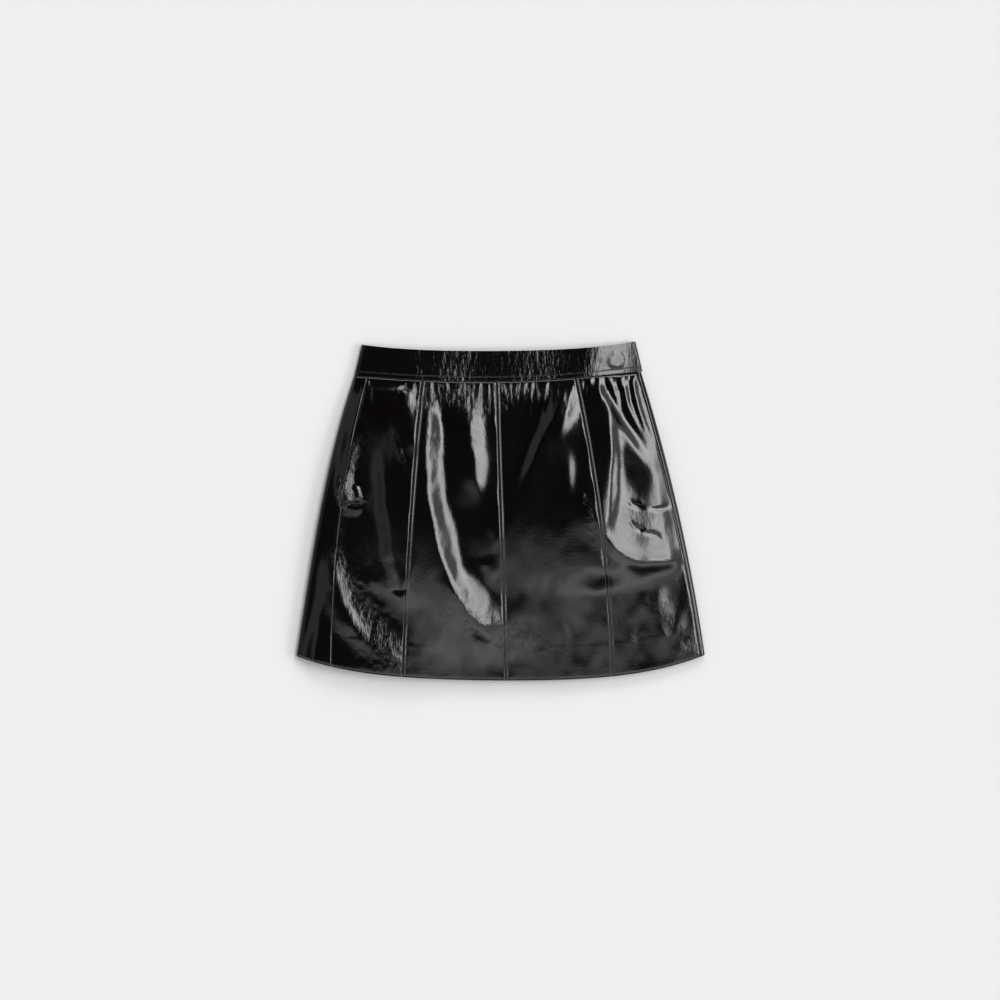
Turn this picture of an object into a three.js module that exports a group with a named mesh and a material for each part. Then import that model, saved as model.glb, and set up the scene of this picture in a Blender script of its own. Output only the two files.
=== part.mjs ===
// Leather mini skirt, closed at the side and laid flat on its back.
// Millimetres. The skirt lies on z = 0, its waist towards +Y, its hem towards -Y.
// "down" is the share of the way from the band's seam (0) to the hem (1); the band itself
// runs from -1 at its top edge to 0 at that seam.
import * as THREE from 'three';

// Driving dimensions
const LEATHER = 1.5;            // one layer of patent leather with its backing
const BAND_WALL = 2.8;          // the band is two layers glued together
const HEM_WALL = 2.7;           // the hem is turned up and glued
const HEM_TURN_UP = 42;         // height of the turned-up hem
const HEM_STEP = 3;             // the wall thickens over this length
const SEAM_GAP = 0.4;           // left between two cut edges that are sewn together
const BAND_GAP = 0.6;           // left between the band and the panels below it
const FOLD_REACH = 4.8;         // how far in from the outline a side fold's round reaches
const BACK_TUCK = 1.5;          // the back's edges stay this far behind the front's
const TUCK_FROM = 4;            // the tuck grows from here to there, in from a side fold
const TUCK_TO = 40;
const BAND_PROUD = 0.8;         // the band stands this far above the panels
const UNDERLAP = 2.2;           // how far the underlap shows past the front band's end
const BAND_TURN_UNDER = 40;     // how far the front band runs on under the left fold
const SNAP_DIAMETER = 19;
const SNAP_THICK = 3.4;         // socket and stud together, between the band's two ends
const SNAP_PLACE = { x: 148, y: 191.9 };
const ZIP_TAPE = 0.9;           // thickness of the zip's tape
const ZIP_WIDTH = 12;           // each tape's width beside the seam
const ZIP_START = 0.02;         // the zip's upper and lower ends, as shares of the way down
const ZIP_END = 0.42;
const LAYER_GAP = 0.5;          // between two layers that lie on each other
const ROWS = 26;                // rows of faces from the band's seam to the hem

// Outline of the skirt, x at even steps down from the band's seam to the hem
const OUTLINE = {
  leftFold: { seam: -186.1, third: -218.8, twoThirds: -241.2, hem: -259.7 },
  rightFold: { seam: 178.4, third: 212.3, twoThirds: 239.4, hem: 259.7 },
};
const BAND_TOP = { left: -176.5, right: 169.5 };

// Edges that run across, y at even steps from the left fold to the right one
const ACROSS = {
  waistEdge: { left: 211.5, quarter: 204.3, middle: 203.2, threeQuarters: 205.6, right: 215.3 },
  bandSeam: { left: 171.5, quarter: 166.0, middle: 164.5, threeQuarters: 168.6, right: 177.8 },
  hemEdge: { left: -184.1, quarter: -210.2, middle: -215.2, threeQuarters: -211.2, right: -182.8 },
};

// Seams that run down, x at even steps from the band's seam to the hem
const SEAMS = {
  pocket: { seam: -168.9, third: -195.3, twoThirds: -209.8, hem: -214.6 },
  leftPrincess: { seam: -99.7, third: -111.0, twoThirds: -119.3, hem: -125.1 },
  centreFront: { seam: -5.1, third: -2.0, twoThirds: 2.4, hem: 5.7 },
  rightPrincess: { seam: 94.6, third: 117.6, twoThirds: 133.5, hem: 141.6 },
  rightSide: { seam: 172.6, third: 206.5, twoThirds: 233.6, hem: 253.9 },
  backLeft: { seam: -92.0, third: -108.0, twoThirds: -120.0, hem: -128.0 },
  centreBack: { seam: 0, third: 0, twoThirds: 0, hem: 0 },
  backRight: { seam: 92.0, third: 108.0, twoThirds: 120.0, hem: 128.0 },
};

// Height of the front over the surface: at the two side folds, and how much more in the middle
const CROWN = {
  atLeftFold: { seam: 8.6, third: 13.5, twoThirds: 14.0, hem: 12.0 },
  atRightFold: { seam: 8.6, third: 12.5, twoThirds: 11.5, hem: 8.5 },
  rise: { seam: 5.6, quarter: 10.0, half: 11.0, threeQuarters: 7.5, hem: 3.0 },
  atWaist: 8.2,
  bandRise: 4.6,
};
const CROWN_POWER = 2.4;        // higher is a flatter middle and rounder sides
const FOLD_FREE_DOWN = 0.05;    // folds grow to full height over this share below the band
const FOLD_FREE_ACROSS = 0.05;  // and over this share in from a side fold

// Largest folds of the front. Each is a crest from one place to another, its middle pushed
// sideways by its bulge, which sits lower down where late is more than 1. It falls away over
// the half widths left and right of it, and grows and fades over shares of its length.
const FOLDS = [
  { name: 'long S', fromX: -104, fromY: 166, toX: 10, toY: -199, bulge: -44, late: 1.5,
    high: 6.4, left: 60, right: 15, grow: 0.16, fade: 0.3 },
  { name: 'left of centre', fromX: -49, fromY: 161, toX: -35, toY: -1, bulge: 2, late: 1,
    high: 3.0, left: 26, right: 12, grow: 0.4, fade: 0.4 },
  { name: 'left hip', fromX: -150, fromY: 109, toX: -119, toY: -128, bulge: -5, late: 1,
    high: 1.9, left: 9, right: 30, grow: 0.3, fade: 0.15 },
  { name: 'right of centre', fromX: 88, fromY: 146, toX: 15, toY: -37, bulge: -6, late: 1,
    high: 3.2, left: 14, right: 40, grow: 0.3, fade: 0.7 },
  { name: 'princess seam pull', fromX: 93, fromY: 171, toX: 57, toY: 75, bulge: 4, late: 1,
    high: 2.4, left: 26, right: 7, grow: 0.1, fade: 0.6 },
  { name: 'right hip crest', fromX: 134, fromY: 141, toX: 126, toY: -85, bulge: 8, late: 1,
    high: 7.4, left: 56, right: 17, grow: 0.3, fade: 0.22 },
  { name: 'right hip fall', fromX: 190, fromY: 128, toX: 190, toY: -98, bulge: 8, late: 1,
    high: 3.2, left: 24, right: 30, grow: 0.3, fade: 0.22 },
  { name: 'draped fold', fromX: 119, fromY: 166, toX: 197, toY: 44, bulge: -8, late: 1,
    high: 4.2, left: 24, right: 8, grow: 0.15, fade: 0.5 },
  { name: 'hip lower edge', fromX: 116, fromY: -11, toX: 256, toY: -27, bulge: -44, late: 1,
    high: 2.0, left: 12, right: 16, grow: 0.25, fade: 0.25 },
  { name: 'lower left', fromX: -218, fromY: -43, toX: -148, toY: -189, bulge: -20, late: 1,
    high: 2.6, left: 16, right: 9, grow: 0.3, fade: 0.4 },
  { name: 'left swell', fromX: -267, fromY: -141, toX: -64, toY: -121, bulge: -6, late: 1,
    high: 4.4, left: 46, right: 40, grow: 0.3, fade: 0.4 },
  { name: 'right hem', fromX: 196, fromY: -98, toX: 211, toY: -189, bulge: 0, late: 1,
    high: 1.9, left: 12, right: 8, grow: 0.4, fade: 0.4 },
];

const COLOURS = {
  leather: { color: 0x0c0a0c, roughness: 0.12, metalness: 0 },
  snap: { color: 0x8d8f92, roughness: 0.3, metalness: 1 },
  tape: { color: 0x0b0b0c, roughness: 0.8, metalness: 0 },
};

// Smooth value at share s of a row of evenly spaced values
function smooth(row, s) {
  const values = Object.values(row);
  const last = values.length - 1;
  let sum = 0;
  values.forEach((value, i) => {
    let weight = 1;
    for (let j = 0; j <= last; j++) {
      if (j !== i) weight *= (s * last - j) / (i - j);
    }
    sum += value * weight;
  });
  return sum;
}

const seamLine = (name) => (down) => smooth(SEAMS[name], down);

// x of the left or right outline, on the band too
function outlineX(fold, down) {
  const atSeam = OUTLINE[fold].seam;
  if (down >= 0) return smooth(OUTLINE[fold], down);
  const atTop = fold === 'leftFold' ? BAND_TOP.left : BAND_TOP.right;
  return THREE.MathUtils.lerp(atSeam, atTop, -down);
}

// Share of the way across from the left outline to the right one
function shareAcross(x, down) {
  const left = outlineX('leftFold', down);
  return (x - left) / (outlineX('rightFold', down) - left);
}

function lengthwiseY(x, down) {
  const share = THREE.MathUtils.clamp(shareAcross(x, down), 0, 1);
  const atSeam = smooth(ACROSS.bandSeam, share);
  if (down < 0) return THREE.MathUtils.lerp(atSeam, smooth(ACROSS.waistEdge, share), -down);
  return THREE.MathUtils.lerp(atSeam, smooth(ACROSS.hemEdge, share), down);
}

// Height that one fold adds at a place
function foldHeight(fold, x, y) {
  const runX = fold.toX - fold.fromX;
  const runY = fold.toY - fold.fromY;
  const length = Math.hypot(runX, runY);
  const along = ((x - fold.fromX) * runX + (y - fold.fromY) * runY) / length ** 2;
  const aside = ((y - fold.fromY) * runX - (x - fold.fromX) * runY) / length;
  const inside = THREE.MathUtils.clamp(along, 0, 1);
  const peak = (fold.late / (fold.late + 1)) ** fold.late / (fold.late + 1);
  const offCrest = aside - fold.bulge * inside ** fold.late * (1 - inside) / peak;
  const halfWidth = offCrest > 0 ? fold.right : fold.left;
  const ends = THREE.MathUtils.smoothstep(along, 0, fold.grow)
    * THREE.MathUtils.smoothstep(1 - along, 0, fold.fade);
  return fold.high * ends * Math.exp(-((offCrest / halfWidth) ** 2));
}

const allFolds = (x, y) => FOLDS.reduce((sum, fold) => sum + foldHeight(fold, x, y), 0);

// Height of the fold at the nearer side, between the left one's and the right one's
function sideHeight(x, down) {
  const share = THREE.MathUtils.clamp(shareAcross(x, down), 0, 1);
  if (down < 0) return CROWN.atWaist;
  return THREE.MathUtils.lerp(smooth(CROWN.atLeftFold, down), smooth(CROWN.atRightFold, down), share);
}

// Height of the front's outer face, with no side fold yet
function frontHeight(x, down) {
  const share = THREE.MathUtils.clamp(shareAcross(x, down), 0, 1);
  const across = 1 - Math.abs(2 * share - 1) ** CROWN_POWER;
  if (down < 0) return CROWN.atWaist + CROWN.bandRise * across + BAND_PROUD;
  const free = THREE.MathUtils.smoothstep(down, 0, FOLD_FREE_DOWN)
    * THREE.MathUtils.smoothstep(Math.min(share, 1 - share), 0, FOLD_FREE_ACROSS);
  return sideHeight(x, down) + smooth(CROWN.rise, down) * across
    + allFolds(x, lengthwiseY(x, down)) * free;
}

const foldMiddle = (x, down) => sideHeight(x, down) / 2;

// Point of the outer face. side is 1 on the front and -1 on the back that lies flat.
function outerPoint({ side, x }, down, rightEndOpen) {
  const fromLeft = x - outlineX('leftFold', down);
  const fromRight = rightEndOpen ? Infinity : outlineX('rightFold', down) - x;
  const inward = Math.max(0, Math.min(fromLeft, fromRight));
  const middle = foldMiddle(x, down);
  const turn = Math.sqrt(1 - (1 - Math.min(1, inward / FOLD_REACH)) ** 2);
  const front = middle + (frontHeight(x, down) - middle) * turn;
  const back = middle * (1 - turn);
  const tuck = side > 0 ? 0 : BACK_TUCK * down * THREE.MathUtils.smoothstep(inward, TUCK_FROM, TUCK_TO);
  return new THREE.Vector3(x, lengthwiseY(x, down) + tuck, side > 0 ? front : back);
}

// Evenly spaced columns on one side, between two lines given as x for each share down
function span(side, fromLine, toLine, count) {
  return Array.from({ length: count + 1 }, (_, i) => (down) => ({
    side,
    x: THREE.MathUtils.lerp(fromLine(down), toLine(down), i / count),
  }));
}

// Columns round a side fold, from the back to the front, without its two end columns
function roundFold(fold, count) {
  const inwards = fold === 'leftFold' ? 1 : -1;
  return Array.from({ length: count - 1 }, (_, i) => (down) => {
    const angle = Math.PI * ((i + 1) / count - 0.5);
    const edge = outlineX(fold, down);
    const x = edge + inwards * FOLD_REACH * (1 - Math.cos(angle));
    return { side: angle < 0 ? -1 : 1, x };
  });
}

const shift = (line, by) => (down) => line(down) + by;

// Line where the round of a side fold ends
const foldStart = (fold) => shift((down) => outlineX(fold, down),
  fold === 'leftFold' ? FOLD_REACH : -FOLD_REACH);

// Closed wall: its outer points from columns and rows, its inner ones one thickness in.
// depth sets how far under the outer face the wall starts, for what lies behind it.
function wall({ columns, downs, thickness, depth = 0, rightEndOpen = false }) {
  const outer = downs.map((down) => columns.map((column) => outerPoint(column(down), down, rightEndOpen)));
  const lastRow = downs.length - 1;
  const lastColumn = columns.length - 1;
  // Step across the wall's face: at a cut edge it is taken both ways past the edge, so that
  // two pieces that are sewn together lean the same way there
  const acrossAt = (r, c) => {
    if (c > 0 && c < lastColumn) return outer[r][c + 1].clone().sub(outer[r][c - 1]);
    const { side, x } = columns[c](downs[r]);
    const beyond = outerPoint({ side, x: x + side }, downs[r], rightEndOpen);
    return beyond.sub(outerPoint({ side, x: x - side }, downs[r], rightEndOpen));
  };
  const inwardAt = (r, c) => {
    const along = outer[Math.min(r + 1, lastRow)][c].clone().sub(outer[Math.max(r - 1, 0)][c]);
    return along.cross(acrossAt(r, c)).normalize().negate();
  };
  const positions = [];
  const layer = (offset) => outer.forEach((row, r) => row.forEach((point, c) => {
    positions.push(...point.clone().addScaledVector(inwardAt(r, c), offset(downs[r])).toArray());
  }));
  layer(() => depth);
  layer((down) => depth + thickness(down));

  const width = columns.length;
  const outerIndex = (r, c) => r * width + c;
  const innerIndex = (r, c) => (lastRow + 1 + r) * width + c;
  const faces = [];
  const quad = (a, b, c, d) => faces.push(a, b, c, a, c, d);
  for (let r = 0; r < lastRow; r++) {
    for (let c = 0; c < lastColumn; c++) {
      quad(outerIndex(r, c), outerIndex(r + 1, c), outerIndex(r + 1, c + 1), outerIndex(r, c + 1));
      quad(innerIndex(r, c), innerIndex(r, c + 1), innerIndex(r + 1, c + 1), innerIndex(r + 1, c));
    }
    quad(outerIndex(r, 0), innerIndex(r, 0), innerIndex(r + 1, 0), outerIndex(r + 1, 0));
    quad(outerIndex(r, lastColumn), outerIndex(r + 1, lastColumn),
      innerIndex(r + 1, lastColumn), innerIndex(r, lastColumn));
  }
  for (let c = 0; c < lastColumn; c++) {
    quad(outerIndex(0, c), outerIndex(0, c + 1), innerIndex(0, c + 1), innerIndex(0, c));
    quad(outerIndex(lastRow, c), innerIndex(lastRow, c), innerIndex(lastRow, c + 1), outerIndex(lastRow, c + 1));
  }
  const geometry = new THREE.BufferGeometry();
  geometry.setAttribute('position', new THREE.Float32BufferAttribute(positions, 3));
  geometry.setIndex(faces);
  return geometry;
}

const skirt = new THREE.Group();

function add(name, geometry, finish) {
  const mesh = new THREE.Mesh(geometry, new THREE.MeshStandardMaterial(finish));
  mesh.name = name;
  skirt.add(mesh);
  return mesh;
}

const evenly = (from, to, count) => Array.from({ length: count + 1 }, (_, i) => (
  THREE.MathUtils.lerp(from, to, i / count)));

// Rows of a panel: even, with one more pair where the turned-up hem's wall gets thicker
const LENGTH = ACROSS.bandSeam.middle - ACROSS.hemEdge.middle;
const hemStart = 1 - HEM_TURN_UP / LENGTH;
const hemStep = HEM_STEP / LENGTH;
const HEM_ROWS = 3;
const panelRows = [
  ...evenly(BAND_GAP / LENGTH, hemStart - hemStep, ROWS - HEM_ROWS),
  ...evenly(hemStart, 1, HEM_ROWS),
];
const panelThickness = (down) => (down > hemStart - hemStep / 2 ? HEM_WALL : LEATHER);

function panel(name, columns) {
  add(name, wall({ columns, downs: panelRows, thickness: panelThickness }), COLOURS.leather);
}

const half = SEAM_GAP / 2;
const right = (line) => shift(line, half);
const left = (line) => shift(line, -half);

// Front panels, each cut to its seams
panel('front_left_side', span(1, right(seamLine('pocket')), left(seamLine('leftPrincess')), 10));
panel('front_left_centre', span(1, right(seamLine('leftPrincess')), left(seamLine('centreFront')), 13));
panel('front_right_centre', span(1, right(seamLine('centreFront')), left(seamLine('rightPrincess')), 12));
panel('front_right_side', span(1, right(seamLine('rightPrincess')), left(seamLine('rightSide')), 14));

// Back panels. The two outer ones turn round the side folds and come up to the front's seams.
panel('back_left_side', [
  ...span(-1, left(seamLine('backLeft')), foldStart('leftFold'), 3),
  ...roundFold('leftFold', 10),
  ...span(1, foldStart('leftFold'), left(seamLine('pocket')), 3),
]);
panel('back_left_centre', span(-1, left(seamLine('centreBack')), right(seamLine('backLeft')), 3));
panel('back_right_centre', span(-1, left(seamLine('backRight')), right(seamLine('centreBack')), 3));
panel('back_right_side', [
  ...span(1, right(seamLine('rightSide')), foldStart('rightFold'), 1),
  ...roundFold('rightFold', 10).reverse(),
  ...span(-1, foldStart('rightFold'), right(seamLine('backRight')), 3),
]);

// Closed zip on two tapes, behind the right side seam and round the fold
const zipBack = shift((down) => outlineX('rightFold', down), -ZIP_WIDTH);
add('side_zip', wall({
  columns: [
    ...span(1, shift(seamLine('rightSide'), -ZIP_WIDTH), foldStart('rightFold'), 2),
    ...roundFold('rightFold', 10).reverse(),
    ...span(-1, foldStart('rightFold'), zipBack, 2),
  ],
  downs: evenly(ZIP_START, ZIP_END, 9),
  thickness: () => ZIP_TAPE,
  depth: LEATHER + LAYER_GAP,
}), COLOURS.tape);

// Waistband. Its front half turns round the left fold and meets the back half underneath.
const bandRows = evenly(-1, 0, 3);
const bandThickness = () => BAND_WALL;
const underneath = shift((down) => outlineX('leftFold', down), BAND_TURN_UNDER);
const frontEnd = (down) => outlineX('rightFold', down);
add('waistband_front', wall({
  columns: [
    ...span(-1, left(underneath), foldStart('leftFold'), 2),
    ...roundFold('leftFold', 10),
    ...span(1, foldStart('leftFold'), frontEnd, 26),
  ],
  downs: bandRows,
  thickness: bandThickness,
  rightEndOpen: true,
}), COLOURS.leather);
add('waistband_back', wall({
  columns: span(-1, shift(frontEnd, UNDERLAP), right(underneath), 12),
  downs: bandRows,
  thickness: bandThickness,
  rightEndOpen: true,
}), COLOURS.leather);

// Snap between the front band's end and the underlap
const snap = new THREE.CylinderGeometry(SNAP_DIAMETER / 2, SNAP_DIAMETER / 2, SNAP_THICK, 32);
snap.rotateX(Math.PI / 2);
const snapMesh = add('waistband_snap', snap, COLOURS.snap);
snapMesh.position.set(SNAP_PLACE.x, SNAP_PLACE.y, BAND_WALL + LAYER_GAP + SNAP_THICK / 2);

export default skirt;
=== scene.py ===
import math

import bmesh
import bpy
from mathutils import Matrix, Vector, noise


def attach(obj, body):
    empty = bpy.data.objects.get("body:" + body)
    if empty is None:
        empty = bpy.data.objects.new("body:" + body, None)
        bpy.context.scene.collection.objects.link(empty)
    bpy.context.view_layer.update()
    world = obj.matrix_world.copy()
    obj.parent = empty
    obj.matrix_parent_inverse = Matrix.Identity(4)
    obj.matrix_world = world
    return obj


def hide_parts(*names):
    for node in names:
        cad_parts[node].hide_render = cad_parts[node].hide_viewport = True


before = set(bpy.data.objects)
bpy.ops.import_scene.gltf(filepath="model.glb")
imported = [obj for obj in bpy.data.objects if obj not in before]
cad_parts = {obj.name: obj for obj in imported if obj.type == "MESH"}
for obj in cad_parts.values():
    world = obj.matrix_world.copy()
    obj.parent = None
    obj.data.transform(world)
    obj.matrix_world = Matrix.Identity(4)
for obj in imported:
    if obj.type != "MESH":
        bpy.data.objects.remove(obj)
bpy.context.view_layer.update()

# Camera
# It looks straight down on the skirt, waist at the top of the picture. A long lens keeps the
# thick middle and the thin edges at one scale, as in a catalogue picture.
MM = 0.001
VIEW_WIDTH = 1270 * MM
VIEW_CENTRE = (-0.6 * MM, 14.0 * MM)
GARMENT_HEIGHT = 10 * MM
LENS, SENSOR = 200, 36

camera_data = bpy.data.cameras.new("camera")
camera_data.lens = LENS
camera_data.sensor_width = SENSOR
camera = bpy.data.objects.new("camera", camera_data)
bpy.context.collection.objects.link(camera)
camera.location = (*VIEW_CENTRE, GARMENT_HEIGHT + VIEW_WIDTH * LENS / SENSOR)
bpy.context.scene.camera = camera

# Front panels
# Four gores of black patent leather, cut to princess seams and a centre seam and turned up at
# the hem. The leather is soft, so it lies in long folds that hang from the band and the hips.
# Sizes and places are in millimetres, and MM turns them to the scene's metres.
HEM_TURN_UP = 42
PANEL_WALL = 1.0
SEAM_GAP = 0.4
BAND_GAP = 0.6
# How far in from a side fold the leather has turned over to lie flat
FOLD_REACH = 4.8
# The back's hem is pulled up a little, inward of the side folds, to stay behind the front's
BACK_TUCK, TUCK_FROM, TUCK_TO = 1.5, 4, 40
GRID = 1.7

# x of the skirt's two side folds and of its seams, at the band's seam, a third and two thirds
# of the way down, and at the hem
OUTLINE = {
    "leftFold": (-186.1, -218.8, -241.2, -259.7),
    "rightFold": (178.4, 212.3, 239.4, 259.7),
}
# x of the two folds at the band's top edge
BAND_TOP = {"leftFold": -176.5, "rightFold": 169.5}
# y of the edges that run across, at five even places from left to right
ACROSS = {
    "waistEdge": (211.5, 204.3, 203.2, 205.6, 215.3),
    "bandSeam": (171.5, 166.0, 164.5, 168.6, 177.8),
    "hemEdge": (-184.1, -210.2, -215.2, -211.2, -182.8),
}
SEAMS = {
    "pocket": (-168.9, -195.3, -209.8, -214.6),
    "leftPrincess": (-99.7, -111.0, -119.3, -125.1),
    "centreFront": (-5.1, -2.0, 2.4, 5.7),
    "rightPrincess": (94.6, 117.6, 133.5, 141.6),
    "rightSide": (172.6, 206.5, 233.6, 253.9),
    "backLeft": (-92.0, -108.0, -120.0, -128.0),
    "centreBack": (0, 0, 0, 0),
    "backRight": (92.0, 108.0, 120.0, 128.0),
}
BACK_SEAMS = ("backLeft", "centreBack", "backRight")
LENGTH = ACROSS["bandSeam"][2] - ACROSS["hemEdge"][2]
# Height at the two side folds, and how much the middle stands above them, from band to hem
AT_LEFT_FOLD = (8.6, 13.5, 14.0, 12.0)
AT_RIGHT_FOLD = (8.6, 12.5, 11.5, 8.5)
RISE = (5.6, 10.0, 11.0, 7.5, 3.0)
# The band's height at the side folds, its rise to the middle, and how proud it stands
AT_WAIST, BAND_RISE, BAND_PROUD = 8.2, 4.6, 0.8
CROWN_POWER = 2.4
# Towards its closing end the band swells and then dips. The panel's top edge dips with it, as
# far as the right side fold.
SWELL_X, SWELL_HALF_WIDTH = 114, 27
DIP_FROM, DIP_TO, DIP = 112, 172, 3.0
DIP_END_FROM, DIP_END_TO = 173, 178
# A line of stitches lies this far in from its seam, and the leather dips under it
STITCH_IN = 4.2
# How far from a seam the leather's edge still changes its height
EDGE_REACH = 8
BACK_CRUSH = 0.3

# Each fold is a crest from one place to another. Its middle is pushed sideways by its bulge,
# lower down where late is more than 1. It falls away over the half widths on its two sides,
# and grows and fades over shares of its length. A crease has a height below zero.
FOLDS = [
    # name, from x, y, to x, y, bulge, late, height, left, right, grow, fade
    ("long S", -103, 160, 10, -199, -42, 1.45, 7.2, 64, 17.5, 0.2, 0.3),
    ("long S spread", -60, -66, 8, -170, -6, 1, 2.8, 20, 22, 0.3, 0.3),
    ("long S leaf", -92, 146, -76, 62, -4, 1, 1.7, 12, 9, 0.35, 0.45),
    ("left of centre", -47, 161, -33, -2, 3, 1, 3.3, 30, 14, 0.35, 0.35),
    ("left princess patch", -130, 176, -110, 58, 2, 1, 4.2, 80, 14.5, 0.26, 0.35),
    ("left hip", -148, 86, -117, -128, -8, 1, 2.5, 10, 32, 0.2, 0.15),
    ("left hip hook", -170, -78, -112, -96, -10, 1, 1.3, 8, 26, 0.3, 0.2),
    ("right of centre", 90, 158, 8, -44, -6, 1, 4.3, 12.5, 42, 0.2, 0.62),
    ("princess seam pull", 93, 173, 66, 84, 4, 1, 2.0, 26, 9, 0.1, 0.5),
    ("princess seam second pull", 84, 90, 92, -16, -2, 1, 1.2, 18, 9, 0.4, 0.5),
    ("right hip crest", 134, 143, 126, -45, 8, 1, 4.9, 46, 10.5, 0.3, 0.4),
    ("right hip glare", 118, 50, 126, -108, 6, 1, 5.4, 44, 58, 0.45, 0.25),
    ("right hip fall", 190, 128, 190, -98, 8, 1, 1.8, 24, 30, 0.3, 0.22),
    ("draped fold", 117, 172, 199, 44, -8, 1, 3.4, 22, 8, 0.15, 0.45),
    ("band pull a", 140, 179, 157, 118, -3, 1, 1.5, 5, 4, 0.1, 0.6),
    ("band pull b", 150, 179, 187, 80, -4, 1, 1.6, 6, 4.5, 0.1, 0.6),
    ("band pull c", 164, 182, 200, 72, -4, 1, 1.5, 6, 4, 0.1, 0.6),
    ("hip crease a", 160, 14, 190, 3, -3, 1, -0.9, 2.4, 4, 0.3, 0.5),
    ("hip crease b", 163, -10, 186, -26, -4, 1, -0.8, 2.2, 3.6, 0.3, 0.4),
    ("hip crease c", 184, 4, 222, 12, -6, 1, -1.0, 2.6, 4, 0.4, 0.3),
    ("hip crease d", 180, -28, 206, -38, 3, 1, -0.7, 2.2, 3.4, 0.3, 0.4),
    ("hip lower edge", 116, -9, 262, -34, -44, 1, 2.0, 12, 16, 0.25, 0.25),
    ("lower left", -218, -43, -148, -189, -20, 1, 3.6, 18, 15, 0.3, 0.4),
    ("left hem swell", -262, -186, -50, -224, -4, 1, 6.5, 30, 62, 0.12, 0.45),
    ("right hem patch", 198, -104, 210, -186, 0, 1, 0.3, 12, 8, 0.4, 0.4),
    ("right hem trough", 186, -110, 168, -205, 4, 1, -0.5, 18, 16, 0.4, 0.2),
    ("centre swell", -40, -36, 150, -30, 0, 1, 1.7, 60, 60, 0.3, 0.3),
    ("hem flare", 58, -94, 78, -227, 4, 1, 1.0, 16, 16, 0.5, 0.1),
    ("centre hem", 18, -92, 34, -194, 0, 1, 1.5, 30, 15, 0.45, 0.35),
    ("pocket edge", -184, 94, -200, 22, 0, 1, 1.0, 4, 5.5, 0.25, 0.1),
    ("pocket pucker a", -204, 50, -198, 5, 0, 1, 4.2, 4, 14, 0.5, 0.12),
    ("pocket pucker b", -186, 34, -181, 12, 2, 1, 1.1, 3, 4, 0.2, 0.2),
    ("pocket tack", -202, 9, -174, 8, 0, 1, -1.1, 1.8, 1.8, 0.1, 0.2),
    ("below the tack", -202, 8, -172, 2, -3, 1, 1.1, 8, 4, 0.15, 0.3),
    ("side strip", -187, 120, -206, 14, -2, 1, 1.7, 8, 10, 0.3, 0.4),
    ("short stroke", -131, 150, -118, 164, 0, 1, 1.0, 4, 4, 0.3, 0.3),
    ("hip streak", -141, 98, -122, 54, 0, 1, 0.8, 16, 5, 0.4, 0.4),
    ("centre crease a", -20, -6, -6, -56, 8, 1, 0.5, 7, 9, 0.4, 0.4),
    ("centre crease b", -28, -60, -8, -90, 6, 1, 0.6, 9, 10, 0.4, 0.4),
]

# Where the leather is crushed into fine crinkles: a line, its half width and how strong it is
CRUSHED = [
    # name, from x, y, to x, y, half width, strength
    ("pocket mouth", -180, 90, -199, 16, 7, 1.4),
    ("pocket tack", -200, 20, -172, 12, 10, 1.3),
    ("below the tack", -200, 8, -206, -60, 8, 0.8),
    ("hip streak", -134, 96, -118, 50, 6, 0.9),
    ("lower left", -208, -62, -132, -178, 16, 1.3),
    ("left hem", -190, -150, -150, -205, 22, 0.5),
    ("long S top", -96, 140, -82, 70, 10, 0.5),
    ("long S end", -52, -118, 2, -170, 20, 0.5),
    ("under the band", -92, 152, -12, 142, 20, 1.2),
    ("left of centre", -44, 150, -34, 90, 14, 0.6),
    ("right of centre", 12, 156, 74, 146, 14, 0.9),
    ("right hip", 160, -6, 225, -20, 26, 0.3),
    ("right princess", 106, 20, 120, -40, 7, 0.8),
    ("right hem corner", 232, -176, 258, -170, 9, 1.0),
    ("hem by the centre", 12, -150, 56, -172, 14, 0.6),
    ("hem patch", 200, -118, 222, -160, 14, 0.4),
]


def smooth_step(low, high, value):
    share = min(1, max(0, (value - low) / (high - low)))
    return share * share * (3 - 2 * share)


def bell(away, half_width):
    """1 in the middle, and a soft fall to nothing on both sides."""
    return math.exp(-((away / half_width) ** 2))


def along_row(row, share):
    """Smooth value at a share of a row of evenly spaced values."""
    last = len(row) - 1
    total = 0
    for i, value in enumerate(row):
        weight = 1
        for j in range(last + 1):
            if j != i:
                weight *= (share * last - j) / (i - j)
        total += value * weight
    return total


def outline_x(fold, down):
    if down >= 0:
        return along_row(OUTLINE[fold], down)
    at_seam = OUTLINE[fold][0]
    return at_seam + (BAND_TOP[fold] - at_seam) * -down


def share_across(x, down):
    left = outline_x("leftFold", down)
    share = (x - left) / (outline_x("rightFold", down) - left)
    return min(1, max(0, share))


def lengthwise_y(share, down):
    at_seam = along_row(ACROSS["bandSeam"], share)
    other = ACROSS["waistEdge"] if down < 0 else ACROSS["hemEdge"]
    return at_seam + (along_row(other, share) - at_seam) * abs(down)


def make_fold(x0, y0, x1, y1, bulge, late, high, left, right, grow, fade):
    """The height that one fold adds, as a function of the place."""
    length = math.hypot(x1 - x0, y1 - y0)
    way_x, way_y = (x1 - x0) / length, (y1 - y0) / length
    push = bulge * (late + 1) / (late / (late + 1)) ** late

    def height(x, y):
        along = ((x - x0) * way_x + (y - y0) * way_y) / length
        if not 0 < along < 1:
            return 0
        aside = (y - y0) * way_x - (x - x0) * way_y
        off_crest = aside - push * along**late * (1 - along)
        half_width = right if off_crest > 0 else left
        if abs(off_crest) > 2.6 * half_width:
            return 0
        ends = smooth_step(0, grow, along) * smooth_step(0, fade, 1 - along)
        return high * ends * bell(off_crest, half_width)

    return height


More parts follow.
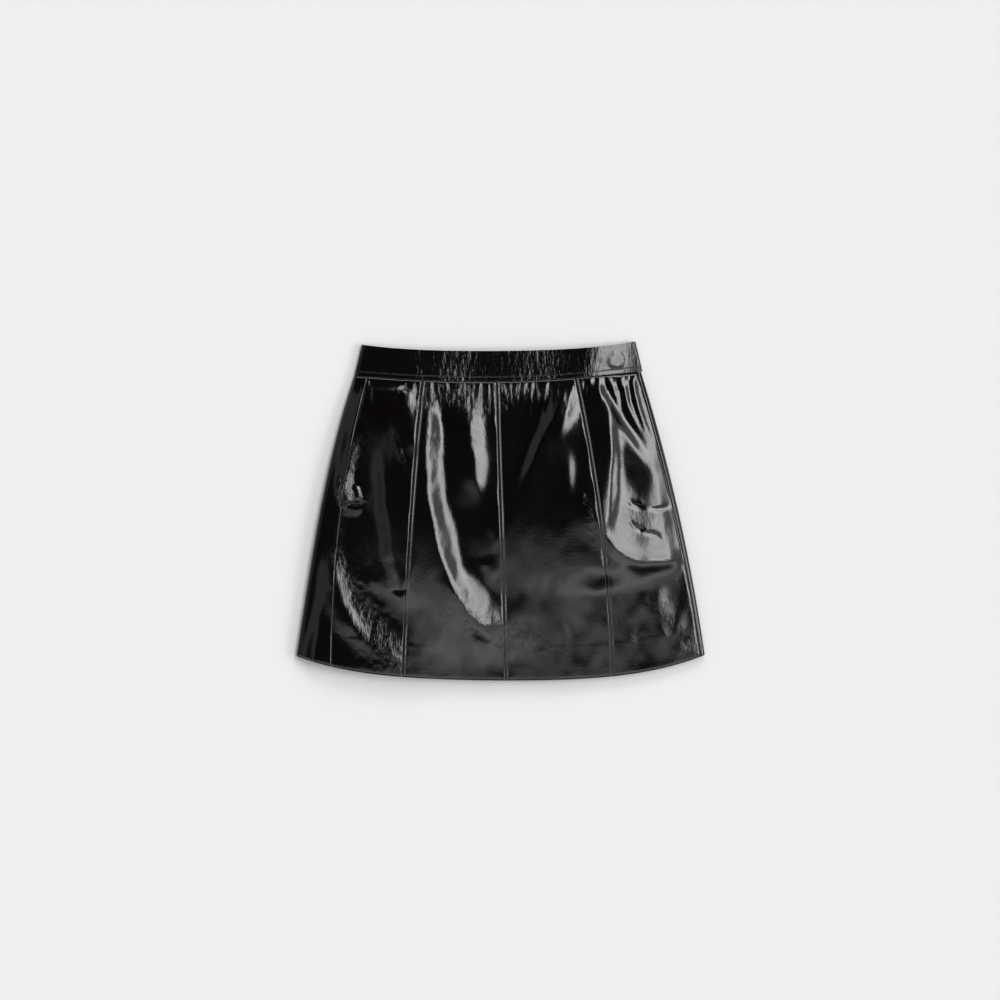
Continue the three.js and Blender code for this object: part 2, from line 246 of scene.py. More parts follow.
def make_crush(x0, y0, x1, y1, half_width, strength):
    """How much one crushed stretch adds, as a function of the place."""
    length = math.hypot(x1 - x0, y1 - y0)
    way_x, way_y = (x1 - x0) / length, (y1 - y0) / length

    def amount(x, y):
        along = (x - x0) * way_x + (y - y0) * way_y
        aside = (y - y0) * way_x - (x - x0) * way_y
        beyond = along - min(length, max(0, along))
        away = (aside**2 + beyond**2) / half_width**2
        return strength * math.exp(-away) if away < 6 else 0

    return amount


front_folds = [make_fold(*row) for name, *row in FOLDS]
crushes = [make_crush(*row) for name, *row in CRUSHED]


def crushed(x, y):
    """How crushed the leather is at a place, from 0 to about 1."""
    return min(1.4, sum(crush(x, y) for crush in crushes))


def side_height(share, down):
    if down < 0:
        return AT_WAIST
    left = along_row(AT_LEFT_FOLD, down)
    return left + (along_row(AT_RIGHT_FOLD, down) - left) * share


def ripple(x, y, wide, tall, seed):
    """Soft unevenness from -1 to 1, with its size across and up in millimetres."""
    return noise.noise(Vector((x / wide, y / tall, seed)))


def puckers(x, y, down):
    """Short gathers where the leather is eased into the band, most of all left of the centre."""
    near_band = bell(down, 0.085) * smooth_step(0, 0.015, down)
    near_band *= 0.4 + 0.6 * bell(x + 44, 52) + 0.3 * bell(x - 40, 30)
    return near_band * (1.3 * ripple(x, y, 6.5, 30, 3.1) + 0.6 * ripple(x, y, 3.4, 14, 7.9))


def unevenness(x, y, down):
    """Soft hand of the leather, more of it low down, and fine crinkles where it is crushed."""
    low = smooth_step(0.58, 0.72, down)
    soft = (0.15 + 0.55 * low) * ripple(x, y, 40, 50, 7.7)
    soft += (0.12 + 0.18 * low) * ripple(x, y, 15, 22, 5.2)
    return soft + 0.3 * ripple(x, y, 5.0, 7.0, 1.3) * crushed(x, y)


def front_height(x, y, share, down):
    """Height of the front: its crown, the swell at the closing end, the folds and the rest."""
    across = 1 - abs(2 * share - 1) ** CROWN_POWER
    free = smooth_step(0, 0.05, down) * smooth_step(0, 0.05, min(share, 1 - share))
    height = side_height(share, down) + along_row(RISE, down) * across
    height += 1.1 * bell(x - SWELL_X, SWELL_HALF_WIDTH) * smooth_step(0.12, 0, down)
    wander_x = x + 2.4 * ripple(x, y, 38, 34, 6.1) + 0.4 * ripple(x, y, 8, 10, 2.6)
    wander_y = y + 2.4 * ripple(x, y, 34, 38, 9.4)
    height += free * sum(fold(wander_x, wander_y) for fold in front_folds)
    return height + puckers(x, y, down) + free * unevenness(x, y, down)


def outer_point(side, x, down):
    """A point of the outer face. side is 1 on the front and -1 on the back that lies flat."""
    share = share_across(x, down)
    from_fold = min(x - outline_x("leftFold", down), outline_x("rightFold", down) - x)
    inward = max(0, from_fold)
    middle = side_height(share, down) / 2
    turn = math.sqrt(1 - (1 - min(1, inward / FOLD_REACH)) ** 2)
    y = lengthwise_y(share, down)
    if side > 0:
        return Vector((x, y, middle + (front_height(x, y, share, down) - middle) * turn))
    tuck = BACK_TUCK * down * smooth_step(TUCK_FROM, TUCK_TO, inward)
    return Vector((x, y + tuck, middle * (1 - turn) + back_height(x, y) * turn))


# Creases of the back, pressed nearly flat by the skirt's weight
BACK_FOLDS = [
    # name, from x, y, to x, y, bulge, late, height, left, right, grow, fade
    ("seat left", -60, 150, -20, -60, 14, 1, 1.1, 10, 16, 0.3, 0.5),
    ("seat right", 72, 156, 40, -30, -12, 1, 1.2, 14, 9, 0.2, 0.5),
    ("left side", -140, 130, -168, -90, 10, 1, 1.0, 9, 14, 0.3, 0.4),
    ("right side", 150, 140, 176, -40, -12, 1, 1.1, 12, 9, 0.3, 0.4),
    ("hem left", -90, -60, -60, -190, 6, 1, 0.8, 12, 16, 0.5, 0.2),
    ("hem right", 100, -40, 84, -188, -8, 1, 0.8, 14, 10, 0.4, 0.2),
    ("across the seat", -70, 20, 66, 34, 10, 1, 0.7, 7, 10, 0.3, 0.3),
]
back_folds = [make_fold(*row) for name, *row in BACK_FOLDS]


def back_height(x, y):
    return sum(fold(x, y) for fold in back_folds)


def seam_x(name, down):
    return along_row(SEAMS[name], down)


# Distances from a sewn edge at which the sheet is divided, to carry its rolled shoulder
CLOSE_STEPS = [0, 0.4, 0.8, 1.2, 1.7, 2.3, 2.9, 3.5, 4.1, 4.7, 5.4, 6.4]


def even_shares(width, fine_start=True, fine_end=True):
    """Shares of a width that lie close together at a sewn edge and evenly elsewhere."""
    start = CLOSE_STEPS if fine_start else [0]
    end = [width - step for step in reversed(CLOSE_STEPS)] if fine_end else [width]
    count = max(1, round((end[0] - start[-1]) / GRID))
    middle = [start[-1] + (end[0] - start[-1]) * i / count for i in range(1, count)]
    return [step / width for step in start + middle + end]


def span(side, start, end, width, fine_start=True, fine_end=True):
    """Columns on one side of the skirt, between two lines given as x for each share down."""
    columns = []
    for share in even_shares(width, fine_start, fine_end):
        columns.append((side, lambda down, s=share: start(down) + (end(down) - start(down)) * s))
    return columns


def shoulder(edge, down):
    """How round the leather's shoulder is beside a seam. It varies along the seam, and each
    seam varies in its own way, by the length of its name."""
    amount = 0.5 + 1.2 * ripple(0, down * LENGTH, 1, 26, len(edge) * 1.7)
    if edge == "pocket":
        amount *= 0.15 + 0.85 * smooth_step(0.2, 0.12, down)
    return amount


def edge_drop(distance, roundness, stitched):
    """How the leather rolls down into a seam, and dips where it is stitched beside it."""
    drop = -0.35 * roundness * bell(distance, 1.7)
    drop -= 0.25 * bell(distance, 0.6)
    if stitched:
        drop += 0.2 * bell(distance - 2.3, 1.2)
        drop -= 0.35 * bell(distance - STITCH_IN, 0.8)
    return drop


def edge_side(edge):
    """1 for a seam of the front, -1 for one of the back."""
    return -1 if edge in BACK_SEAMS else 1


def front_finish(x, down):
    """How the front's height changes at its hem and at the band: the turned-up hem stands a
    little proud, its edge is rounded, and the top edge goes down to the band at its dip."""
    from_hem = (1 - down) * LENGTH
    from_band = down * LENGTH - BAND_GAP
    closing = smooth_step(DIP_FROM, DIP_TO, x) * smooth_step(DIP_END_TO, DIP_END_FROM, x)
    change = 0.07 * smooth_step(HEM_TURN_UP + 3, HEM_TURN_UP - 2, from_hem)
    change -= 0.5 * bell(from_hem, 1.5) + 0.15 * bell(from_band, 1.6)
    return change - DIP * closing * bell(from_band, 2.0)


def new_piece(name, mesh):
    """A smooth piece on the skirt's one body, from a finished bmesh."""
    for face in mesh.faces:
        face.smooth = True
    data = bpy.data.meshes.new(name)
    mesh.to_mesh(data)
    mesh.free()
    piece = bpy.data.objects.new(name, data)
    bpy.context.collection.objects.link(piece)
    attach(piece, "root")
    return piece


def make_wall(piece, thickness):
    """Gives a sheet its wall, inwards from the outer face."""
    solidify = piece.modifiers.new("wall", "SOLIDIFY")
    solidify.thickness = thickness * MM
    solidify.offset = -1
    return solidify


def make_panel(name, columns, edges):
    """A shell on the front's or back's form, from a flat grid. Each edge is its line, the way
    to the panel from it (1 or -1), and whether the panel is stitched down beside it."""
    rows = round(LENGTH / GRID)
    mesh = bmesh.new()
    bmesh.ops.create_grid(mesh, x_segments=len(columns) - 1, y_segments=rows, size=0.5)
    crush = mesh.verts.layers.float.new("crushed")
    start = BAND_GAP / LENGTH
    for vert in mesh.verts:
        column = round((vert.co.x + 0.5) * (len(columns) - 1))
        down = start + (1 - start) * (0.5 - vert.co.y)
        side, line = columns[column]
        x = line(down)
        point = outer_point(side, x, down)
        for edge, towards, stitched in edges:
            distance = (x - seam_x(edge, down)) * towards
            if -1 < distance < EDGE_REACH and side == edge_side(edge):
                point.z += edge_drop(distance, shoulder(edge, down), stitched) * side
        if side < 0:
            point.z = max(0, point.z)
        else:
            point.z += front_finish(x, down)
        vert[crush] = crushed(point.x, point.y) if side > 0 else BACK_CRUSH
        vert.co = point * MM
    piece = new_piece(name, mesh)
    make_wall(piece, PANEL_WALL).material_offset = 1
    return piece


def linear(hex_colour):
    """An sRGB hex colour as linear values."""
    values = [int(hex_colour[i:i + 2], 16) / 255 for i in (1, 3, 5)]
    return [v / 12.92 if v <= 0.04045 else ((v + 0.055) / 1.055) ** 2.4 for v in values] + [1]


def add_node(tree, kind, settings=None, links=None):
    """Adds a node. Settings are attributes or input values; links are inputs fed by outputs."""
    node = tree.nodes.new(kind)
    for key, value in (settings or {}).items():
        if isinstance(key, str) and hasattr(node, key):
            setattr(node, key, value)
        else:
            node.inputs[key].default_value = value
    for key, output in (links or {}).items():
        tree.links.new(output, node.inputs[key])
    return node


def new_material(name):
    """A material with an empty node tree, and the output that gives the place on the object."""
    material = bpy.data.materials.new(name)
    material.use_nodes = True
    tree = material.node_tree
    tree.nodes.clear()
    return material, tree, add_node(tree, "ShaderNodeTexCoord").outputs["Object"]


# Size and depth of the nap, of the pebble and of the lines where the lacquer is crushed
NAP, NAP_DEPTH = 0.8, 0.12
PEBBLE, PEBBLE_DEPTH = 1.9, 0.08
CRUSH_LINE, CRUSH_DEPTH = 2.2, 0.35


def suede_backing():
    """The flesh side of the leather: dyed, brushed suede, matt, with a soft short nap."""
    material, tree, place = new_material("suede_brushed_flesh_side")
    nap = add_node(tree, "ShaderNodeTexNoise", {"Scale": 1 / (NAP * MM), "Detail": 4.0},
                   {"Vector": place}).outputs["Fac"]
    tone = add_node(tree, "ShaderNodeMix", {
        "data_type": "RGBA", 6: linear("#1B1718"), 7: linear("#2E2829"),
    }, {0: nap})
    bump = add_node(tree, "ShaderNodeBump", {"Strength": 1.0, "Distance": NAP_DEPTH * MM},
                    {"Height": nap})
    shader = add_node(tree, "ShaderNodeBsdfPrincipled", {
        "Roughness": 0.95, "Specular IOR Level": 0.2,
    }, {"Base Color": tone.outputs[2], "Normal": bump.outputs["Normal"]})
    add_node(tree, "ShaderNodeOutputMaterial", None, {"Surface": shader.outputs["BSDF"]})
    return material


def patent_leather():
    """Cow leather with a poured, polished lacquer coat: black with a breath of maroon, mirror
    smooth, with a fine pebble and crush lines where the lacquer has been bent."""
    material, tree, place = new_material("patent_leather_lacquered")
    crush = add_node(tree, "ShaderNodeAttribute", {"attribute_name": "crushed"}).outputs["Fac"]
    pebble = add_node(tree, "ShaderNodeTexNoise", {
        "Scale": 1 / (PEBBLE * MM), "Detail": 2.0, "Roughness": 0.5,
    }, {"Vector": place})
    streak_place = add_node(tree, "ShaderNodeMapping", {
        "Rotation": (0, 0, 0.3), "Scale": (1.0, 0.34, 1.0),
    }, {"Vector": place})
    streak = add_node(tree, "ShaderNodeTexNoise", {
        "Scale": 1 / (CRUSH_LINE * MM), "Detail": 3.0, "Roughness": 0.6,
    }, {"Vector": streak_place.outputs["Vector"]})
    streak_deep = add_node(tree, "ShaderNodeMath", {"operation": "MULTIPLY"},
                           {0: streak.outputs["Fac"], 1: crush})
    fine = add_node(tree, "ShaderNodeBump", {"Strength": 1.0, "Distance": PEBBLE_DEPTH * MM},
                    {"Height": pebble.outputs["Fac"]})
    crinkled = add_node(tree, "ShaderNodeBump", {"Strength": 1.0, "Distance": CRUSH_DEPTH * MM},
                        {"Height": streak_deep.outputs["Value"], "Normal": fine.outputs["Normal"]})
    shader = add_node(tree, "ShaderNodeBsdfPrincipled", {
        "Base Color": linear("#050304"), "Roughness": 0.5, "Specular IOR Level": 0.0,
        "Coat Weight": 1.0, "Coat Roughness": 0.1, "Coat IOR": 1.5,
    }, {"Normal": crinkled.outputs["Normal"], "Coat Normal": crinkled.outputs["Normal"]})
    add_node(tree, "ShaderNodeOutputMaterial", None, {"Surface": shader.outputs["BSDF"]})
    return material


leather = patent_leather()
suede = suede_backing()
HALF_GAP = SEAM_GAP / 2


def beside(seam, by):
    return lambda down: seam_x(seam, down) + by


def leather_panel(name, columns, edges):
    piece = make_panel(name, columns, edges)
    piece.data.materials.append(leather)
    piece.data.materials.append(suede)
    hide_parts(name.replace("leather_", ""))


# Flat sizes are in metres and areas in square metres
FRONT_PANELS = [
    # name, left seam, right seam, width, stitched down beside the left seam, flat size, area
    ("leather_front_left_side", "pocket", "leftPrincess", 82, False, (0.098, 0.385), 0.0322),
    ("leather_front_left_centre", "leftPrincess", "centreFront", 116, True, (0.135, 0.392), 0.0449),
    ("leather_front_right_centre", "centreFront", "rightPrincess", 120, True, (0.140, 0.392), 0.0470),
    ("leather_front_right_side", "rightPrincess", "rightSide", 96, True, (0.116, 0.388), 0.0362),
]
for name, left_seam, right_seam, width, stitched, flat, area in FRONT_PANELS:
    columns = span(1, beside(left_seam, HALF_GAP), beside(right_seam, -HALF_GAP), width)
    edges = [(left_seam, 1, stitched), (right_seam, -1, False)]
    leather_panel(name, columns, edges)

# Back panels
# Four more gores. The two outer ones turn round the sides of the laid skirt and come up to
# the front's side seams, and their undersides lie flat on the table.
ROUND_COLUMNS = 16


def fold_line(fold, by):
    return lambda down: outline_x(fold, down) + by


def round_fold(fold):
    """Columns round a side fold, from the back to the front, without its two ends."""
    inwards = 1 if fold == "leftFold" else -1
    columns = []
    for i in range(1, ROUND_COLUMNS):
        angle = math.pi * (i / ROUND_COLUMNS - 0.5)
        reach = inwards * FOLD_REACH * (1 - math.cos(angle))
        columns.append((-1 if angle < 0 else 1, fold_line(fold, reach)))
    return columns


leather_panel("leather_back_left_side", [
    *span(-1, beside("backLeft", -HALF_GAP), fold_line("leftFold", FOLD_REACH), 105, True, False),
    *round_fold("leftFold"),
    *span(1, fold_line("leftFold", FOLD_REACH), beside("pocket", -HALF_GAP), 22, False, True),
], [("pocket", -1, False), ("backLeft", -1, False)])
leather_panel("leather_back_left_centre", span(
    -1, beside("centreBack", -HALF_GAP), beside("backLeft", HALF_GAP), 110,
), [("backLeft", 1, True), ("centreBack", -1, False)])
leather_panel("leather_back_right_centre", span(
    -1, beside("backRight", -HALF_GAP), beside("centreBack", HALF_GAP), 110,
), [("centreBack", 1, True), ("backRight", -1, False)])
leather_panel("leather_back_right_side", [
    *span(1, beside("rightSide", HALF_GAP), fold_line("rightFold", -FOLD_REACH), 2, False, False),
    *reversed(round_fold("rightFold")),
    *span(-1, fold_line("rightFold", -FOLD_REACH), beside("backRight", HALF_GAP), 105, False, True),
], [("rightSide", 1, False), ("backRight", 1, True)])

# Waistband
# A strip of the same leather folded double over its top edge, stitched to the skirt along its
# lower edge. Its front turns round the left side; its right end closes over the underlap
# with a hidden snap, whose round shows through the leather.
BAND_DEPTH = ACROSS["waistEdge"][2] - ACROSS["bandSeam"][2]
BAND_WALL = 2.6
BAND_GRID = 1.0
UNDERLAP = 2.2
BAND_TURN_UNDER = 40
SNAP_X, SNAP_Y = 148, 191.9
SNAP_RADIUS, SNAP_RING = 6.0, 14.5
SNAP_LIFT = 0.7
BAND_STITCH_IN = 5.0

# Where the band is crinkled
BAND_CRINKLES = [
    # name, place across, half width, strength
    ("left of centre", -60, 26, 1.0),
    ("single line", -104, 5, 0.7),
    ("right of centre", 46, 38, 0.5),
    ("closing end", 120, 13, 0.3),
]


def band_crinkle(x):
    return sum(strength * bell(x - centre, half_width)
               for name, centre, half_width, strength in BAND_CRINKLES)


def band_height(x, y, share):
    """Height of the front band: its crown, the swell and dip of the closing end, the snap's
    round, and the crinkles."""
    across = 1 - abs(2 * share - 1) ** CROWN_POWER
    height = AT_WAIST + BAND_RISE * across + BAND_PROUD
    from_swell = x - SWELL_X - 0.3 * (y - 190) - 6 * ripple(x, y, 14, 12, 3.3)
    height += 1.6 * bell(from_swell, SWELL_HALF_WIDTH) - DIP * smooth_step(DIP_FROM, DIP_TO, x)
    from_snap = math.hypot(x - SNAP_X, y - SNAP_Y)
    height += SNAP_LIFT * smooth_step(SNAP_RING, SNAP_RADIUS, from_snap)
    crinkle = 0.12 + band_crinkle(x)
    height += 0.24 * crinkle * ripple(x + 0.12 * y, y, 2.4, 26, 2.2)
    height += 0.26 * crinkle * ripple(x - 0.2 * y, y, 4.2, 18, 8.4)
    return height + 0.10 * ripple(x, y, 24, 19, 4.9)


def band_point(side, x, down):
    share = share_across(x, down)
    inward = max(0, x - outline_x("leftFold", down))
    middle = AT_WAIST / 2
    turn = math.sqrt(1 - (1 - min(1, inward / FOLD_REACH)) ** 2)
    y = lengthwise_y(share, down)
    if side < 0:
        return Vector((x, y, middle * (1 - turn)))
    return Vector((x, y, middle + (band_height(x, y, share) - middle) * turn))


def make_band(name, columns):
    rows = round(BAND_DEPTH / BAND_GRID)
    mesh = bmesh.new()
    bmesh.ops.create_grid(mesh, x_segments=len(columns) - 1, y_segments=rows, size=0.5)
    crush = mesh.verts.layers.float.new("crushed")
    for vert in mesh.verts:
        column = round((vert.co.x + 0.5) * (len(columns) - 1))
        down = -(vert.co.y + 0.5)
        side, line = columns[column]
        x = line(down)
        point = band_point(side, x, down)
        point.z -= side * 0.2 * bell(-down * BAND_DEPTH - BAND_STITCH_IN, 1.0)
        vert[crush] = 0.5 + 0.6 * band_crinkle(x)
        vert.co = point * MM
    piece = new_piece(name, mesh)
    piece.data.materials.append(leather)
    make_wall(piece, BAND_WALL)
    bevel = piece.modifiers.new("folded edge", "BEVEL")
    bevel.width = 0.9 * MM
    bevel.segments = 3
    bevel.limit_method = "ANGLE"
    bevel.angle_limit = math.radians(60)
    return piece


def band_span(side, start, end, width):
    count = round(width / BAND_GRID)
    return [(side, lambda down, s=i / count: start(down) + (end(down) - start(down)) * s)
            for i in range(count + 1)]


band_start = fold_line("leftFold", BAND_TURN_UNDER - HALF_GAP)
band_front = make_band("leather_waistband_front", [
    *band_span(-1, band_start, fold_line("leftFold", FOLD_REACH), 35),
    *round_fold("leftFold"),
    *band_span(1, fold_line("leftFold", FOLD_REACH), fold_line("rightFold", 0), 350),
])
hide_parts("waistband_front")
band_back = make_band("leather_waistband_back", band_span(
    -1, fold_line("rightFold", UNDERLAP), fold_line("leftFold", BAND_TURN_UNDER + HALF_GAP), 310,
))
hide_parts("waistband_back")

# Stitching
# Black bonded polyester thread in lock stitch, 3.3 mm a stitch, beside the princess and centre
# seams of the front and back, and along the band. Each stitch is a short raised thread that dips
# into the leather at both ends.
STITCH_PITCH = 3.3
STITCH_LONG = 2.6
THREAD_RADIUS = 0.24
TWIST, TWIST_DEPTH = 0.45, 0.05
# A wave texture of scale 1 has about this many bands, light and dark, in a unit of length
BANDS_PER_UNIT = 6.28
# One stitch, as shares of its length and heights over the leather
STITCH_SHAPE = ((0, -0.2), (0.22, 0.12), (0.78, 0.12), (1, -0.2))
# How far the pull of the thread sinks it below the leather's smooth form
SEAM_SINK, BAND_SINK = 0.42, 0.4
# A row beside a seam starts this far below the band, and is this much shorter than the panel
ROW_START, ROW_SHORTER = 2, 6


def polyester_thread():
    """Bonded filament polyester: smooth and a little shiny, twisted along its length."""
    material, tree, place = new_material("polyester_thread_bonded")
    twist = add_node(tree, "ShaderNodeTexWave", {
        "Scale": 1 / (TWIST * MM) / BANDS_PER_UNIT, "Distortion": 0.5, "bands_direction": "DIAGONAL",
    }, {"Vector": place})
    bump = add_node(tree, "ShaderNodeBump", {"Strength": 1.0, "Distance": TWIST_DEPTH * MM},
                    {"Height": twist.outputs["Fac"]})
    shader = add_node(tree, "ShaderNodeBsdfPrincipled", {
        "Base Color": linear("#151314"), "Roughness": 0.42, "Specular IOR Level": 0.5,
    }, {"Normal": bump.outputs["Normal"]})
    add_node(tree, "ShaderNodeOutputMaterial", None, {"Surface": shader.outputs["BSDF"]})
    return material


def stitch_row(name, surface, length):
    """Stitches along a line. surface gives the point on the leather, and its outward side, at
    a distance along the line."""
    data = bpy.data.curves.new(name, "CURVE")
    data.dimensions = "3D"
    data.bevel_depth = THREAD_RADIUS * MM
    data.bevel_resolution = 1
    data.use_fill_caps = True
    for i in range(int(length / STITCH_PITCH)):
        start = (i + 0.5) * STITCH_PITCH - STITCH_LONG / 2
        spline = data.splines.new("POLY")
        spline.points.add(len(STITCH_SHAPE) - 1)
        for point, (step, lift) in zip(spline.points, STITCH_SHAPE):
            place, side = surface(start + step * STITCH_LONG)
            point.co = (place.x * MM, place.y * MM, (place.z + lift * side) * MM, 1)
    data.materials.append(thread)
    row = bpy.data.objects.new(name, data)
    bpy.context.collection.objects.link(row)
    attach(row, "root")


thread = polyester_thread()


def beside_seam(seam, by):
    side = edge_side(seam)

    def surface(distance):
        down = (BAND_GAP + ROW_START + distance) / LENGTH
        point = outer_point(side, seam_x(seam, down) + by, down)
        point.z -= SEAM_SINK * side
        return point, side

    return surface


def along_band(side, from_x, from_seam):
    def surface(distance):
        point = band_point(side, from_x + distance, -from_seam / BAND_DEPTH)
        point.z -= BAND_SINK * side
        return point, side

    return surface


for seam in ("leftPrincess", "centreFront", "rightPrincess", *BACK_SEAMS):
    stitch_row("stitches_" + seam, beside_seam(seam, STITCH_IN), LENGTH - ROW_SHORTER)
stitch_row("stitches_waistband_front", along_band(1, -180, BAND_STITCH_IN), 356)
stitch_row("stitches_waistband_end", along_band(1, 112, 34), 58)
stitch_row("stitches_waistband_back", along_band(-1, -140, BAND_STITCH_IN), 316)

# Snap and zip
# A pressed brass snap holds the band's two ends together, and a closed coil zip on woven tape
# runs down behind the right side seam. Both are hidden in the closed skirt.
SCUFF = 0.6
WEAVE, WEAVE_DEPTH = 0.8, 0.1


def nickel_plate():
    """Nickel-plated brass, tumbled: a warm grey metal with a soft shine and fine scuffs."""
    material, tree, place = new_material("nickel_plated_brass_tumbled")
    scuff = add_node(tree, "ShaderNodeTexNoise", {"Scale": 1 / (SCUFF * MM), "Detail": 3.0},
                     {"Vector": place})
    rough = add_node(tree, "ShaderNodeMapRange", {"To Min": 0.22, "To Max": 0.4},
                     {"Value": scuff.outputs["Fac"]})
    shader = add_node(tree, "ShaderNodeBsdfPrincipled", {
        "Base Color": linear("#C9C6BF"), "Metallic": 1.0,
    }, {"Roughness": rough.outputs["Result"]})
    add_node(tree, "ShaderNodeOutputMaterial", None, {"Surface": shader.outputs["BSDF"]})
    return material


def woven_tape():
    """Polyester zip tape: a tight herringbone weave, matt black."""
    material, tree, place = new_material("polyester_tape_woven")
    weave = add_node(tree, "ShaderNodeTexWave", {
        "Scale": 1 / (WEAVE * MM) / BANDS_PER_UNIT, "Distortion": 1.0, "bands_direction": "Y",
    }, {"Vector": place}).outputs["Fac"]
    tone = add_node(tree, "ShaderNodeMix", {
        "data_type": "RGBA", 6: linear("#0E0D0E"), 7: linear("#1D1B1D"),
    }, {0: weave})
    bump = add_node(tree, "ShaderNodeBump", {"Strength": 1.0, "Distance": WEAVE_DEPTH * MM},
                    {"Height": weave})
    shader = add_node(tree, "ShaderNodeBsdfPrincipled", {"Roughness": 0.85},
                      {"Base Color": tone.outputs[2], "Normal": bump.outputs["Normal"]})
    add_node(tree, "ShaderNodeOutputMaterial", None, {"Surface": shader.outputs["BSDF"]})
    return material


for node, material in (("waistband_snap", nickel_plate()), ("side_zip", woven_tape())):
    solid = bpy.data.objects[node]
    solid.data.materials.clear()
    solid.data.materials.append(material)

# Floor and light
# A pale seamless card. The room overhead is dark, which leaves the lacquer black between its
# highlights. A bright window stands to the right, and dimmer patches stand beyond it, at the
# left and below. Two low strips, at the right and the top, throw the soft shadow on the card.
floor_mesh = bmesh.new()
bmesh.ops.create_grid(floor_mesh, x_segments=1, y_segments=1, size=6)
floor_data = bpy.data.meshes.new("floor")
floor_mesh.to_mesh(floor_data)
floor_mesh.free()
floor = bpy.data.objects.new("floor", floor_data)
bpy.context.collection.objects.link(floor)
paint = bpy.data.materials.new("matt_white_card")
paint.use_nodes = True
paint_shader = paint.node_tree.nodes["Principled BSDF"]
paint_shader.inputs["Base Color"].default_value = linear("#C4C4C4")
paint_shader.inputs["Roughness"].default_value = 0.9
paint_shader.inputs["Specular IOR Level"].default_value = 0.0
floor_data.materials.append(paint)

world = bpy.data.worlds.new("studio")
bpy.context.scene.world = world
world.use_nodes = True
studio = world.node_tree
studio.nodes.clear()
toward = add_node(studio, "ShaderNodeTexCoord").outputs["Generated"]
way = add_node(studio, "ShaderNodeSeparateXYZ", None, {0: toward})
overhead = add_node(studio, "ShaderNodeMath", {"operation": "MAXIMUM", 1: 0.05},
                    {0: way.outputs["Z"]}).outputs[0]
# A slope of view is how far a place in the room is to the side for each metre of its height
slope_x, slope_y = [
    add_node(studio, "ShaderNodeMath", {"operation": "DIVIDE"},
             {0: way.outputs[axis], 1: overhead}).outputs[0]
    for axis in ("X", "Y")
]
slopes = add_node(studio, "ShaderNodeCombineXYZ", None, {"X": slope_x, "Y": slope_y})
outward = add_node(studio, "ShaderNodeVectorMath", {"operation": "LENGTH"},
                   {0: slopes.outputs[0]}).outputs["Value"]


def cloud(size, low, high, low_value, high_value):
    """Soft patches in a light, with their size as a share of the room's height."""
    patch = add_node(studio, "ShaderNodeTexNoise", {"Scale": 1 / size, "Detail": 2.0},
                     {"Vector": toward})
    return add_node(studio, "ShaderNodeMapRange", {
        "From Min": low, "From Max": high, "To Min": low_value, "To Max": high_value,
    }, {"Value": patch.outputs["Fac"]}).outputs["Result"]


def soft_edges(slope, limits):
    """Edges of a patch of light: it starts at the first slope and is full at the second, and
    where four are given it is still full at the third and gone at the fourth."""
    edges = [(slope, *limits[:2], 0.0, 1.0)]
    if len(limits) == 4:
        edges.append((slope, *limits[2:], 1.0, 0.0))
    return edges


def patch_of_room(strength, mottle, edges):
    """The light of one patch. Each edge is a slope, two of its values, and the share of the
    light at each of them, with a soft change between."""
    light = add_node(studio, "ShaderNodeMath", {"operation": "MULTIPLY", 0: 1.0, 1: strength},
                     {0: mottle} if mottle else None).outputs[0]
    for slope, low, high, at_low, at_high in edges:
        share = add_node(studio, "ShaderNodeMapRange", {
            "interpolation_type": "SMOOTHSTEP", "From Min": low, "From Max": high,
            "To Min": at_low, "To Max": at_high,
        }, {"Value": slope}).outputs["Result"]
        light = add_node(studio, "ShaderNodeMath", {"operation": "MULTIPLY"},
                         {0: light, 1: share}).outputs[0]
    return light


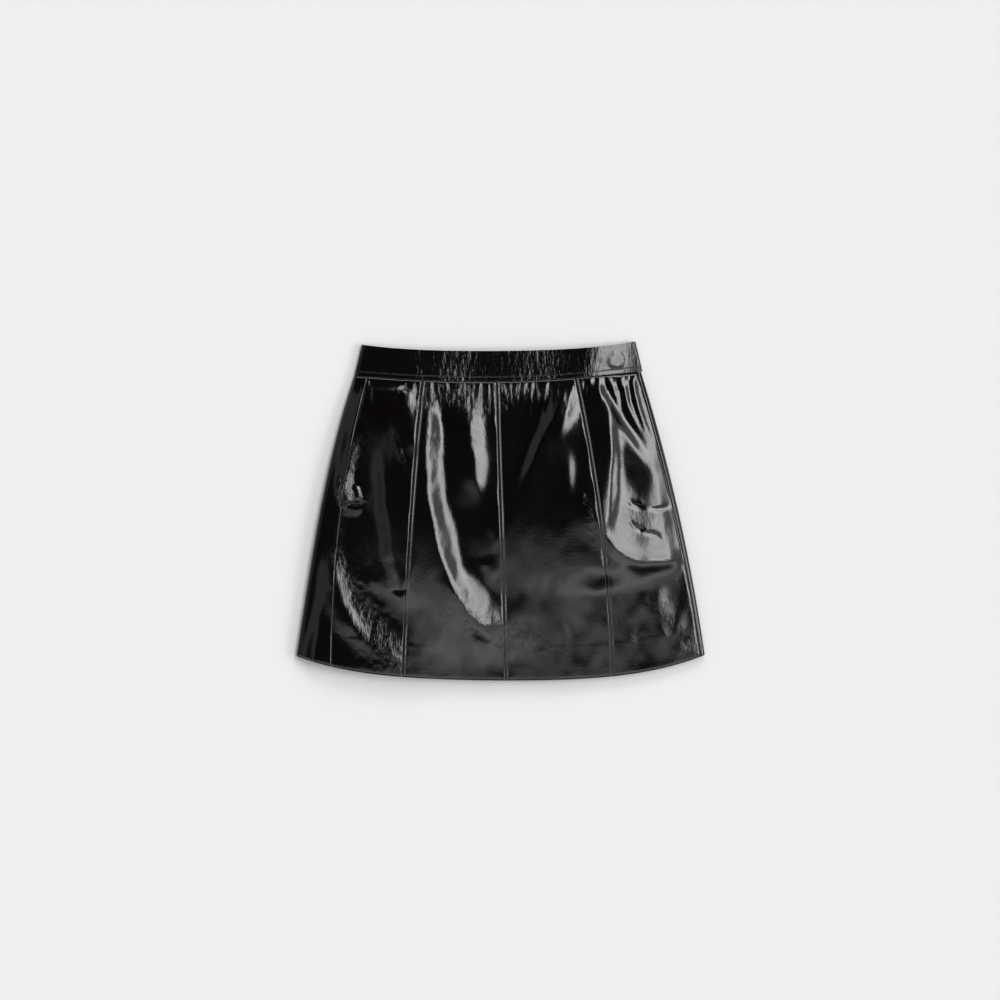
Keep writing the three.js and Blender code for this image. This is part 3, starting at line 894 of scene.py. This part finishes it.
patchy = cloud(0.14, 0.3, 0.7, 0.45, 1.35)
twice_patchy = add_node(studio, "ShaderNodeMath", {"operation": "MULTIPLY"},
                        {0: patchy, 1: patchy}).outputs[0]
ROOM = [
    # name, strength, mottle, edges across, edges up
    ("window", 9.0, patchy, (0.17, 0.27, 0.47, 0.6), (-0.11, -0.05, 0.8, 0.9)),
    ("beyond the window", 1.2, None, (0.50, 0.56, 0.9, 1.3), (-0.11, -0.07)),
    ("left wall", 0.45, None, (-1.1, -0.8, -0.45, -0.39), (-0.11, -0.07)),
    ("low strip at the right", 9.0, None, (1.0, 1.3, 2.2, 2.8), (-0.9, -0.7, 0.2, 0.5)),
    ("low strip at the top", 6.0, None, (-0.7, -0.4, 0.6, 0.9), (1.0, 1.3, 2.2, 2.8)),
]
lights = [
    patch_of_room(strength, mottle, soft_edges(slope_x, across) + soft_edges(slope_y, up))
    for name, strength, mottle, across, up in ROOM
]
# The wall below the hem is brighter lower down. Soft patches stand low all round, and the dark
# ceiling isn't quite black.
lights.append(patch_of_room(1.6, patchy, [
    *soft_edges(slope_y, (-0.6, -0.42, -0.13, -0.095)), (slope_y, -0.4, -0.12, 1.3, 0.6),
]))
lights.append(patch_of_room(2.2, cloud(0.3, 0.5, 0.62, 0.06, 1.0),
                            soft_edges(outward, (1.0, 1.4, 3.5, 5.0))))
lights.append(patch_of_room(0.03, twice_patchy, []))

light = lights[0]
for more in lights[1:]:
    light = add_node(studio, "ShaderNodeMath", {"operation": "ADD"},
                     {0: light, 1: more}).outputs[0]
lit = add_node(studio, "ShaderNodeBackground", {"Color": linear("#FFFFFF")}, {"Strength": light})
plain = add_node(studio, "ShaderNodeBackground", {"Color": linear("#F0F0F0"), "Strength": 1.0})
seen = add_node(studio, "ShaderNodeLightPath").outputs["Is Camera Ray"]
mixed = add_node(studio, "ShaderNodeMixShader", None,
                 {0: seen, 1: lit.outputs[0], 2: plain.outputs[0]})
add_node(studio, "ShaderNodeOutputWorld", None, {"Surface": mixed.outputs[0]})
bpy.context.scene.view_settings.view_transform = "Standard"
